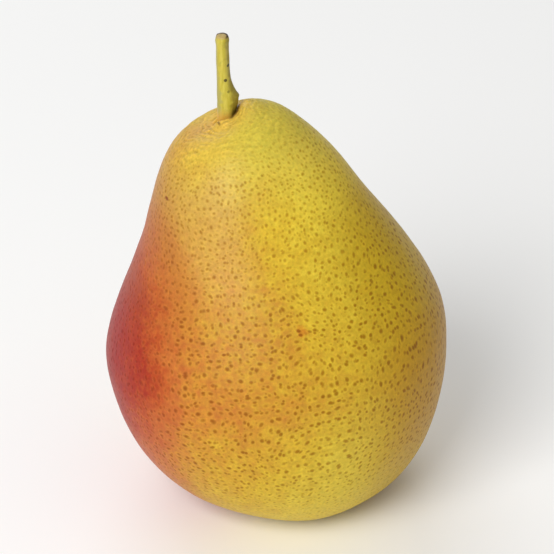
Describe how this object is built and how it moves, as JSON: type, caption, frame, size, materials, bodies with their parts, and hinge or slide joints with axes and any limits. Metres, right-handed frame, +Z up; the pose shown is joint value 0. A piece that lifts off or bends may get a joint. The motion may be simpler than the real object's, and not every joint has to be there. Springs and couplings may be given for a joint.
{
  "type": "pear",
  "caption": "Ripe blushed dessert pear with its woody stem and dried calyx, standing upright on the flat of its base.",
  "frame": {"origin": "middle of the pear's outline seen from above, on the surface it stands on", "axes": "+Z up through the stem end; -Y towards the side with the fullest view; the neck leans towards -X and the red blush is on the -X side"},
  "size_m": [0.0696, 0.0684, 0.1019],
  "materials": {
    "skin": "satin",
    "stem": "satin",
    "calyx": "matte"
  },
  "bodies": {
    "root": {"fruit": "skin", "stem": "stem", "calyx": "calyx"}
  },
  "joints": []
}
